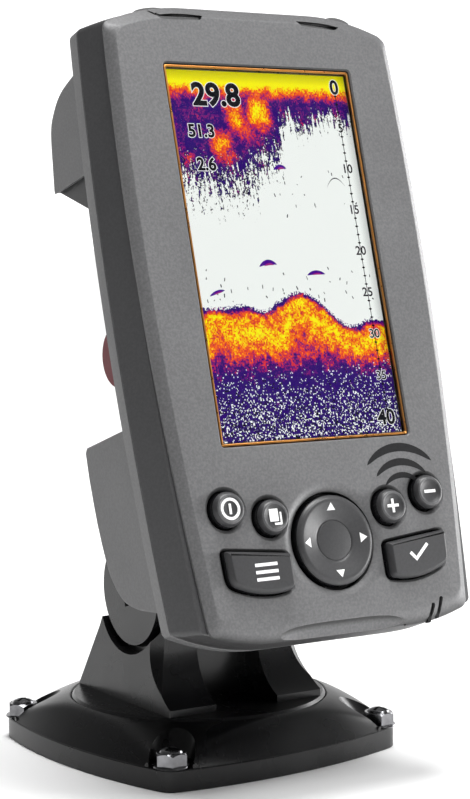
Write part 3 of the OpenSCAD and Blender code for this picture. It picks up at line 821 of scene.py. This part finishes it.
def make_deck_screws():
    """Hexagon washer-head screws with a dome and a cross recess."""
    screws = []
    for x, y in BASE_CORNERS:
        head = mesh_object("screw", prism(circle(4.35, steps=6), 6.25, 9.6))
        carve(head, revolve([(0, 5), (4.5, 5), (4.5, 8.9), (3.7, 9.6), (0, 9.6)], 48), "INTERSECT")
        dome = [(0, 9.3), (3.1, 9.3), (3.05, 9.6), (2.7, 10.1), (1.9, 10.5), (0.9, 10.7), (0, 10.75)]
        carve(head, revolve(dome, 40), "UNION")
        washer = [(0, 0.3), (2.1, 0.3), (2.1, 5.7), (4.6, 5.75), (4.8, 5.95), (4.6, 6.3), (0, 6.4)]
        carve(head, revolve(washer, 48), "UNION")
        for a in (20, 110):
            arm = prism(box_outline(-2.3, -0.42, 2.3, 0.42, 0.1), 9.5, 12)
            arm.transform(Matrix.Rotation(math.radians(a), 4, "Z"))
            carve(head, arm)
        bm = mesh_back(head)
        bm.transform(Matrix.Translation((x, y, 0)))
        screws.append(bm)
    finish_piece(mesh_object("hex_screws", joined(screws)), BASE, "base", [chrome],
                 ["base_screws"], 25)


# ---------------------------------------------------------------- display rim and picture

PICTURE_HALF = (26.93, 47.52)
PICTURE_FRONT = -1.42
RIM_OUTER = (28.0, 48.5)
WHITE = (0.93, 0.96, 0.93)
YELLOW = (1.0, 0.93, 0.0)
ORANGE = (0.95, 0.14, 0.0)
RED = (0.75, 0.02, 0.03)
PURPLE = (0.2, 0.005, 0.19)
BLUE = (0.022, 0.0, 0.16)
BLACK = (0.003, 0.003, 0.01)
# depths along curves, as fractions of the picture's width and height
SEABED = [(0.0, 0.646), (0.13, 0.647), (0.23, 0.642), (0.34, 0.657), (0.41, 0.636), (0.49, 0.616),
          (0.56, 0.61),
          (0.62, 0.625), (0.7, 0.666), (0.76, 0.695), (0.83, 0.706), (0.91, 0.69), (1.0, 0.692)]
CLUTTER = [(0.0, 0.29), (0.12, 0.31), (0.24, 0.305), (0.37, 0.3), (0.44, 0.25), (0.55, 0.225), (0.6, 0.15),
           (0.73, 0.145), (0.88, 0.13), (1.0, 0.135)]
BED_HEART = [(0.0, 0.09), (0.06, 0.02), (0.14, 0.075), (0.31, 0.06), (0.42, 0.09), (0.5, 0.03), (0.6, 0.07),
             (0.7, 0.045), (0.85, 0.07), (1.0, 0.08)]
# warm lobes in the clutter: across, depth, half width, half height, gain
LOBES = [(0.47, 0.115, 0.1, 0.07, 0.82), (0.34, 0.12, 0.09, 0.06, 0.7), (0.24, 0.2, 0.1, 0.055, 0.62),
         (0.05, 0.245, 0.07, 0.03, 0.35), (0.4, 0.16, 0.12, 0.08, 0.4), (0.26, 0.235, 0.1, 0.04, 0.45)]


def make_rim():
    rings = []
    for inset, height, corner in ((0, -2.35, 0.8), (0, -0.62, 0.8), (0.1, -0.48, 0.8), (0.35, -0.44, 0.7),
                                  (0.55, -0.52, 0.6), (0.6, -0.7, 0.6), (0.6, -2.35, 0.6)):
        hw, hh = RIM_OUTER[0] - inset, RIM_OUTER[1] - inset
        rings.append(lift(rounded(rectangle(-hw, -hh, hw, hh), corner), height))
    finish_piece(mesh_object("display_rim", hoop(rings)), FACE, "head", [copper],
                 ["display_trim"], 40)


def colour_steps(value, stops):
    """A colour ramp through (place, colour) stops."""
    n = add_node(value.tree, "ShaderNodeValToRGB", {0: value})
    ramp = n.color_ramp
    while len(ramp.elements) < len(stops):
        ramp.elements.new(0.5)
    for element, (place, colour) in zip(ramp.elements, stops):
        element.position = place
        element.color = colour + (1,)
    return Wire(n.outputs[0])


def curve_node(value, points):
    n = add_node(value.tree, "ShaderNodeFloatCurve", {"Value": value})
    curve = n.mapping.curves[0]
    curve.points[0].location = points[0]
    curve.points[1].location = points[-1]
    for p in points[1:-1]:
        curve.points.new(*p)
    n.mapping.update()
    return Wire(n.outputs[0])


def sonar_picture():
    """A made-up sonar picture: surface clutter, open water, a humped seabed fading to speckle."""
    m, tree, bsdf = new_material("sonar_picture")
    place = Wire(add_node(tree, "ShaderNodeUVMap").outputs[0])
    across, up, _ = place.parts()
    depth = 1.0 - up

    def grain(stretch, detail=4.0, rough=0.7, spread=0.18):
        return place.scaled(stretch).noise(1.0, detail, rough).remap(0.5 - spread, 0.5 + spread)

    def pixels(columns, rows, seed):
        """One random value for each cell of a grid laid over the picture."""
        grid = place.scaled((columns, rows, 1), (seed, seed, 0))
        cells = Wire(add_node(tree, "ShaderNodeVectorMath", {0: grid}, operation="FLOOR").outputs[0])
        white = add_node(tree, "ShaderNodeTexWhiteNoise", noise_dimensions="2D")
        feed(white, {"Vector": cells})
        return Wire(white.outputs["Value"])

    def shaken(amount, source):
        return (source - 0.5) * amount

    def lobe(x, d, half_width, half_height, gain):
        dx = (across - x) / half_width
        dd = (depth - d) / half_height
        return maths("SUBTRACT", 1.0, dx * dx + dd * dd, clamp=True) * gain

    fine = pixels(150, 250, 3)
    speck = pixels(180, 280, 11)
    coarse = grain((16, 22, 1), rough=0.6)
    streak = grain((45, 5, 1))
    tufts = grain((75, 40, 1), detail=3.0)
    blotch = grain((26, 34, 1), rough=0.65, spread=0.2)

    # surface clutter: strength falls with depth, with warm lobes hanging in it
    level = depth / (curve_node(across, CLUTTER) + shaken(0.08, streak))
    strength = depth.remap(0.03, 0.085, 0.95, 0.14)
    for spec in LOBES:
        strength = maths("MAXIMUM", strength, lobe(*spec))
    strength = strength + shaken(0.26, fine) + shaken(0.34, coarse)
    clutter = colour_steps(strength, [(0.0, BLUE), (0.16, BLUE), (0.3, PURPLE), (0.44, RED), (0.62, ORANGE),
                                      (0.82, YELLOW)])
    frayed = level + shaken(0.2, speck) + shaken(0.5, tufts)
    in_fringe = (frayed + shaken(0.12, fine)).below(1.03)

    # seabed: a blue skin, a mottled warm body, then purple and blue speckle
    under = depth - curve_node(across, SEABED)
    heat = maths("ABSOLUTE", under - curve_node(across, BED_HEART)).remap(0.0, 0.085, 0.76, 0.46)
    skin = under.remap(0.004, 0.02, -0.5, 0.0)
    fade = (depth + shaken(0.03, streak)).remap(0.755, 0.85, 0.0, -0.5)
    deep = depth.remap(0.8, 0.94, 0.0, -0.15)
    heat = heat + skin + fade + (shaken(0.3, fine) + shaken(0.5, blotch)) + deep
    body = colour_steps(heat, [(0.0, BLUE), (0.12, BLUE), (0.27, PURPLE), (0.4, RED), (0.6, ORANGE),
                               (0.85, YELLOW)])
    dust = speck.above(depth.remap(0.79, 0.97, 1.01, 0.56))
    body = blend(dust, body, blend(fine.above(0.55), BLACK + (1,), WHITE + (1,)))

    picture = blend(in_fringe, WHITE + (1,), BLACK + (1,))
    picture = blend(frayed.below(0.93), picture, clutter)
    picture = blend((under + shaken(0.012, speck)).above(0.0), picture, body)
    picture = blend((depth + shaken(0.012, fine)).below(0.033), picture, YELLOW + (1,))
    shadow = depth.remap(0.0, 0.03, 0.55, 1.0) * across.remap(0.955, 1.0, 1.0, 0.62)
    feed(bsdf, {"Base Color": (0.002, 0.002, 0.002, 1), "Specular IOR Level": 0.1, "Emission Color": picture,
                "Emission Strength": shadow * 0.95})
    return m


def make_picture():
    hw, hh = PICTURE_HALF
    bm = prism(rectangle(-hw, -hh, hw, hh), PICTURE_FRONT - 0.02, PICTURE_FRONT)
    layer = bm.loops.layers.uv.new("picture")
    for face in bm.faces:
        for corner in face.loops:
            p = corner.vert.co
            corner[layer].uv = ((p.x + hw) / (2 * hw), (p.y + hh) / (2 * hh))
    finish_piece(mesh_object("sonar_screen", bm), FACE, "head", [sonar_picture()], weighted=False)


# ---------------------------------------------------------------- digits and fish on the picture

SCALE_ACROSS = 0.935
SCALE_TOP = 0.035
SCALE_FOOT = 0.961
SCALE_MARKS = 8
TICKS = 40
INK = (-1.392, -1.388)
ARCH_INK = (-1.393, -1.388)
CORE_INK = (-1.387, -1.382)


def picture_place(across, depth):
    hw, hh = PICTURE_HALF
    return (-hw + 2 * hw * across, hh - 2 * hh * depth)


def text_mesh(words, size, at, height, bold, thick=0.004):
    """Digits as a thin flat mesh, right side up on the face, centred on at."""
    curve = bpy.data.curves.new("digits", "FONT")
    curve.body = words
    curve.size = size
    curve.align_x = "CENTER"
    curve.align_y = "CENTER"
    curve.offset = bold
    curve.extrude = thick
    curve.resolution_u = 4
    obj = bpy.data.objects.new("digits", curve)
    bpy.context.scene.collection.objects.link(obj)
    graph = bpy.context.evaluated_depsgraph_get()
    mesh = bpy.data.meshes.new_from_object(obj.evaluated_get(graph))
    mesh.transform(Matrix.Translation((at[0], at[1], height)))
    bm = bmesh.new()
    bm.from_mesh(mesh)
    bpy.data.objects.remove(obj)
    bpy.data.meshes.remove(mesh)
    return bm


def make_readouts():
    """Depth digits and the depth scale down the right of the picture, dark on a pale outline."""
    dark = []
    pale = []

    def write(words, size, at, bold, outline):
        dark.append(text_mesh(words, size, at, -1.37, bold))
        pale.append(text_mesh(words, size, at, -1.395, outline))

    for i in range(SCALE_MARKS + 1):
        x, u = picture_place(SCALE_ACROSS, SCALE_TOP + i * (SCALE_FOOT - SCALE_TOP) / SCALE_MARKS)
        if i == 0:
            write("0", 5.4, (x, u), 0.14, 0.32)
        elif i == SCALE_MARKS:
            write(str(5 * i), 5.4, (x - 0.6, u), 0.14, 0.32)
        else:
            write(str(5 * i), 3.3, (x, u), 0.05, 0.2)
    write("29.8", 8.2, picture_place(0.25, 0.069), 0.3, 0.5)
    write("51.3", 4.6, picture_place(0.14, 0.169), 0.14, 0.32)
    write("2.6", 4.6, picture_place(0.14, 0.26), 0.14, 0.32)
    x, top = picture_place(SCALE_ACROSS, 0.06)
    low = picture_place(SCALE_ACROSS, 0.94)[1]
    dark.append(prism(rectangle(x - 0.1, low, x + 0.1, top), *INK))
    for i in range(TICKS):
        if i % 5:
            u = picture_place(SCALE_ACROSS, SCALE_TOP + i * (SCALE_FOOT - SCALE_TOP) / TICKS)[1]
            diamond = [(x - 0.55, u), (x, u - 0.35), (x + 0.55, u), (x, u + 0.35)]
            dark.append(prism(rounded(diamond, 0.1, 2), *INK))
    finish_print("screen_digits", dark, "head", glowing("screen_ink", (0.003, 0.003, 0.006), 1.0))
    finish_print("screen_digit_halo", pale, "head", glowing("screen_halo", (0.85, 0.87, 0.85)))


def arch(x, u, half, rise, thick, lean):
    """Outline of a fish arch: a crescent, thick in the middle."""
    def spine(t):
        return Vector((x + half * t, u + rise * (1 - t * t) + lean * t)), Vector((0, 1))
    return stroke(spine, thick, 0.7, 14)


def make_fish():
    """Fish arches, one thin arch and specks in the open water."""
    outer = []
    inner = []
    for place, half, rise, thick, lean in (
            ((0.543, 0.269), 2.0, 0.6, 1.2, 0.2), ((0.391, 0.535), 2.7, 0.9, 1.3, 0.25),
            ((0.654, 0.562), 2.8, 0.6, 1.1, 0.1), ((0.09, 0.607), 2.3, 0.3, 0.9, 0.7)):
        x, u = picture_place(*place)
        outer.append(prism(arch(x, u, half, rise, thick, lean), *ARCH_INK))
        core = arch(x + 0.3, u, half * 0.55, rise * 0.4, thick * 0.45, lean * 0.5)
        inner.append(prism(core, *CORE_INK))
    thin = [prism(arch(*picture_place(0.85, 0.318), 2.9, 2.4, 0.3, 0.3), *ARCH_INK)]
    rng = random.Random(7)
    for _ in range(70):
        across = rng.uniform(0.03, 0.97)
        x, u = picture_place(across, rng.choice((0.33, 0.36, 0.3, 0.56, 0.6, 0.62)) + rng.gauss(0, 0.02))
        radius = rng.uniform(0.08, 0.18)
        end = (x + rng.uniform(-0.3, 0.3), u - rng.uniform(0.1, 0.9))
        thin.append(prism(capsule((x, u), end, radius, 2), *ARCH_INK))
    finish_print("fish_arches", outer, "head", glowing("fish_blue", (0.06, 0.0, 0.26)))
    finish_print("fish_cores", inner, "head", glowing("fish_purple", (0.32, 0.01, 0.2)))
    finish_print("water_specks", thin, "head", glowing("speck_ink", (0.02, 0.02, 0.03)))


# ---------------------------------------------------------------- keys

CAP = [(0, -3.6), (5.5, -3.6), (5.5, -2.8), (4.4, -2.75), (4.4, 0.6), (4.34, 1.1), (4.18, 1.6), (3.95, 2.05),
       (3.72, 2.38), (3.5, 2.56), (3.26, 2.6), (3.02, 2.52), (2.8, 2.36), (2.4, 2.22), (1.6, 2.1), (0.8,
                                                                                                    2.04),
       (0, 2.02)]
WING = [(0.9, -3.6), (0.9, -2.75), (0.0, -2.7), (0.0, 0.9), (-0.12, 1.5), (-0.42, 2.1), (-0.85, 2.52),
        (-1.15, 2.6)]
PAD = [(0, -5.0), (3.6, -5.0), (3.6, -4.1), (12.9, -4.1), (12.9, -3.4), (11.4, -3.35), (11.4, -0.4),
       (11.25, 0.15), (10.9, 0.62), (10.4, 0.9), (9.95, 0.98), (9.5, 0.92), (8.4, 0.68), (7.0, 0.37), (5.7,
                                                                                                       0.1),
       (5.25, -0.02), (5.12, -0.22), (4.98, -0.22), (4.85, -0.05), (4.2, 0.02), (2.5, 0.12), (0, 0.16)]
PIVOT_SOCKET = [(0, -9), (1.5, -9), (1.5, -6.8), (2.09, -5.5), (2.09, -4.8), (1.6, -3.6), (0, -3.12)]
MARK_LOW = 1.9
MARK_HIGH = 2.33
WING_MARK = (2.4, 2.63)


def box_outline(x0, y0, x1, y1, radius=0.12):
    return rounded(rectangle(x0, y0, x1, y1), radius, 3)


def make_round_key(name):
    obj = mesh_object(name.replace("_key", "_button"), revolve(CAP, 64))
    # painted shade: the key's side and flange get the near-black side material
    paint(obj, 1, lambda c, normal: c.z < 1.0 or c.xy.length > 4.3)
    # painted highlight: the crest ring of the dished top gets the lighter rim material
    paint(obj, 2, lambda c, normal: c.z >= 1.0 and 3.05 < c.xy.length < 3.72)
    obj.data.transform(Matrix.Translation((*ROUND_KEYS[name], 0)))
    finish_piece(obj, FACE, name, [key_cap, key_side_shade, key_rim_highlight], [name], 40)


def make_key_icons():
    """White marks on the caps, standing a hair proud of the dished tops."""
    def shifted(points, name):
        x, y = ROUND_KEYS[name]
        return [(x + p[0], y + p[1]) for p in points]

    def bar(name, half_width, half_height, top):
        outline = box_outline(-half_width, -half_height, half_width, half_height)
        return prism(shifted(outline, name), MARK_LOW, top)

    ring_ends = ((2.75, MARK_LOW + 0.25), (2.75, MARK_HIGH), (2.0, MARK_HIGH), (2.0, MARK_LOW + 0.25))
    ring = hoop([lift(circle(r, ROUND_KEYS["power_key"]), h) for r, h in ring_ends])
    front_sheet = box_outline(-1.5, -1.2, 1.0, 1.9)
    back_sheet = [(-0.3, -2.1), (1.9, -2.1), (1.9, 1.0), (1.45, 1.0), (1.45, -1.55), (-0.3, -1.55)]
    arm, half = 1.75, 0.36
    cross = [(-half, -arm), (half, -arm), (half, -half), (arm, -half), (arm, half), (half, half), (half, arm),
             (-half, arm), (-half, half), (-arm, half), (-arm, -half), (-half, -half)]
    marks = {
        "power_key": [ring, bar("power_key", 0.32, 1.3, MARK_HIGH - 0.12)],
        "pages_key": [prism(shifted(front_sheet, "pages_key"), MARK_LOW, MARK_HIGH - 0.05),
                      prism(shifted(back_sheet, "pages_key"), MARK_LOW, MARK_HIGH)],
        "plus_key": [prism(shifted(cross, "plus_key"), MARK_LOW, MARK_HIGH - 0.1)],
        "minus_key": [bar("minus_key", 1.75, 0.38, MARK_HIGH - 0.1)],
    }
    for key, parts in marks.items():
        finish_print(key.replace("_key", "_mark"), parts, key, white_print)


def make_wing_key(name, side):
    obj = mesh_object(name.replace("_key", "_button"), stepped(wing_outline(side), WING))
    # painted shade: the key's side gets the near-black side material
    paint(obj, 1, lambda c, normal: c.z < 1.2)
    finish_piece(obj, FACE, name, [key_cap, key_side_shade], [name], 50)


def make_wing_icons():
    """Three bars on the menu key, a tick on the enter key."""
    x, u = -22.6, -79.9
    bars = [prism(box_outline(x - 3.2, u + dy - 0.4, x + 3.2, u + dy + 0.4), *WING_MARK) for dy in (1.75, 0,
                                                                                                    -1.75)]
    finish_print("menu_mark", bars, "menu_key", white_print)
    x, u = 23.2, -79.4
    tick = [(x - 3.0, u + 0.1), (x - 1.1, u - 1.9), (x + 3.2, u + 1.9), (x + 2.6, u + 2.5),
            (x - 1.05, u - 0.75),
            (x - 2.35, u + 0.7)]
    finish_print("enter_mark", [prism(tick, *WING_MARK)], "enter_key", white_print)


def make_pad():
    """The direction pad with its four arrow marks lying on the dished ring."""
    centre = Vector((0, PAD_UP))
    obj = mesh_object("pad_cap", revolve(PAD, 96, centre))
    carve(obj, revolve(PIVOT_SOCKET, 32, centre))
    # painted shade: the pad's side wall gets the near-black side material
    paint(obj, 1, lambda c, normal: c.z < 0.2 and (c.xy - centre).length > 11)
    finish_piece(obj, FACE, "direction_pad", [pad_plastic, key_side_shade], ["direction_pad"], 45)
    marks = []
    for out in circle(1, steps=4):
        across = Vector((-out.y, out.x)) * 1.25
        corners = [out * 9.35, out * 7.45 + across, out * 7.45 - across]
        marks.append(loft([[(*(centre + p), 0.37 + (p.length - 7.0) * 0.225 + rise) for p in corners]
                           for rise in (-0.3, 0.05)]))
    finish_print("pad_marks", marks, "direction_pad", white_print)


def make_ripples():
    """Plain dark sonar ripples printed on the face beside the pad."""
    centre = Vector((23.6, -66.4))

    def ripple(reach, half_angle, thick):
        def spine(t):
            a = math.radians(90 - half_angle * t)
            spoke = Vector((math.cos(a), math.sin(a)))
            return centre + spoke * reach, spoke
        return prism(stroke(spine, thick, 0.6, 24), -0.05, 0.035)

    ripples = [ripple(7.4, 46, 1.5), ripple(10.8, 46, 1.9), ripple(14.6, 44, 2.2)]
    finish_print("ripple_print", ripples, "head", dark_print_and_shade)


# ---------------------------------------------------------------- CAD nodes that stay, with their edge easing

CARRIED = {
    "base_pad": (rubber, 0.2), "swivel_ring": (acetal, 0.1), "yoke": (gloss_black, 0.35),
    "swivel_washer": (steel, 0.1), "swivel_screw": (steel, 0.1), "tilt_washers": (acetal, 0.1),
    "bracket": (gloss_black, 0.4), "bracket_pads": (rubber, 0.3), "tilt_bolt": (steel, 0.2),
    "tilt_nut": (steel, 0.2), "lever_pin": (steel, 0.1), "lever_spring": (steel, 0),
    "socket_panel": (part_black, 0.3), "power_socket": (part_black, 0.15), "sonar_socket": (part_black, 0.15),
    "socket_pins": (brass, 0.08), "case_screws": (steel, 0.08), "case_seal": (rubber, 0),
    "display_window": (window_glass, 0.1), "lcd_panel": (part_black, 0.1), "lcd_frame": (steel, 0.1),
    "lcd_flex": (amber_film, 0), "keypad_mat": (silicone, 0.1), "key_switches": (steel, 0.08),
    "main_board": (solder_mask, 0.1), "board_standoffs": (brass, 0.1), "board_shield": (steel, 0.1),
    "sonar_transformer": (part_black, 0.3), "capacitors": (part_blue, 0.3), "buzzer": (part_black, 0.2),
    "pad_pivot": (steel, 0), "release_lever": (lever_plastic, 0.5),
}


def smooth_by_angle(limit):
    """A modifier group that smooths every edge flatter than the limit."""
    group = bpy.data.node_groups.new("smooth_by_angle", "GeometryNodeTree")
    group.interface.new_socket("Geometry", in_out="INPUT", socket_type="NodeSocketGeometry")
    group.interface.new_socket("Geometry", in_out="OUTPUT", socket_type="NodeSocketGeometry")
    mesh = Wire(add_node(group, "NodeGroupInput").outputs[0])
    angle = Wire(add_node(group, "GeometryNodeInputMeshEdgeAngle").outputs["Unsigned Angle"])
    flat = angle.below(math.radians(limit))
    faces = Wire(add_node(group, "GeometryNodeSetShadeSmooth", {"Geometry": mesh}, domain="FACE").outputs[0])
    edges = add_node(group, "GeometryNodeSetShadeSmooth", {"Geometry": faces, "Shade Smooth": flat},
                     domain="EDGE")
    add_node(group, "NodeGroupOutput", {0: Wire(edges.outputs[0])})
    return group


def ease_edges(obj, width):
    mod = obj.modifiers.new("eased", "BEVEL")
    mod.width = width
    mod.segments = 2
    mod.limit_method = "ANGLE"
    mod.angle_limit = math.radians(30)
    mod.use_clamp_overlap = True
    obj.modifiers.new("even_normals", "WEIGHTED_NORMAL").keep_sharp = False


def dress_carried_nodes():
    smooth = smooth_by_angle(24)
    for name, (material, ease) in CARRIED.items():
        obj = frame["nodes"][name]
        if not obj.material_slots:
            obj.data.materials.append(material)
        for s in obj.material_slots:
            s.material = material
        obj.modifiers.new("smooth", "NODES").node_group = smooth
        if ease:
            ease_edges(obj, ease * MM)


# ---------------------------------------------------------------- stage and light

WALL_SIDE = (0.536, 0.844, 0.0)
WALL_LIGHT = 1.3
ROOM_LIGHT = 0.12


def make_floor():
    bm = bmesh.new()
    bmesh.ops.create_grid(bm, x_segments=1, y_segments=1, size=12)
    floor = mesh_object("floor", bm)
    m, tree, bsdf = new_material("floor")
    feed(bsdf, {"Base Color": (0.95, 0.95, 0.95, 1), "Roughness": 0.9})
    floor.data.materials.append(m)


def make_lamp(name, kind, power):
    data = bpy.data.lights.new(name, kind)
    data.energy = power
    lamp = bpy.data.objects.new(name, data)
    bpy.context.scene.collection.objects.link(lamp)
    return lamp


def soft_box(name, place, aim, width, height, power):
    lamp = make_lamp(name, "AREA", power)
    lamp.data.shape = "RECTANGLE"
    lamp.data.size = width
    lamp.data.size_y = height
    away = Vector(place) - Vector(aim)
    lamp.matrix_world = Matrix.Translation(place) @ away.to_track_quat("Z", "Y").to_matrix().to_4x4()


def make_light():
    """A white wall behind, brightest near the floor, a dim room, three soft boxes and an overhead light."""
    world = bpy.data.worlds.new("studio")
    world.use_nodes = True
    background = world.node_tree.nodes["Background"]
    direction = Wire(add_node(world.node_tree, "ShaderNodeTexCoord").outputs["Generated"])
    towards_wall = direction.dot(WALL_SIDE).remap(0.05, 0.85, 0.0, WALL_LIGHT)
    low_down = direction.parts()[2].remap(0.16, 0.36, 1.0, 0.12)
    feed(background, {"Strength": towards_wall * low_down + ROOM_LIGHT, "Color": (1, 1, 1, 1)})
    bpy.context.scene.world = world
    soft_box("key", (0.35, -0.55, 1.0), (0, 0, 0.1), 0.45, 0.45, 6.5)
    soft_box("front", (0.92, -0.5, 0.1), (0, 0, 0.03), 0.4, 0.2, 6)
    soft_box("rim", (0.95, 0.1, 0.3), (0, 0, 0.1), 0.4, 0.4, 4)
    make_lamp("overhead", "SUN", 3.1).data.angle = math.radians(30)


dress_carried_nodes()
make_bezel()
make_base_plate()
make_deck_screws()
make_inlays()
make_mid_frame()
make_rear_case()
make_rim()
make_picture()
make_readouts()
make_fish()
for key_name in ROUND_KEYS:
    make_round_key(key_name)
make_key_icons()
make_wing_key("menu_key", -1)
make_wing_key("enter_key", 1)
make_wing_icons()
make_pad()
make_ripples()
make_floor()
make_light()
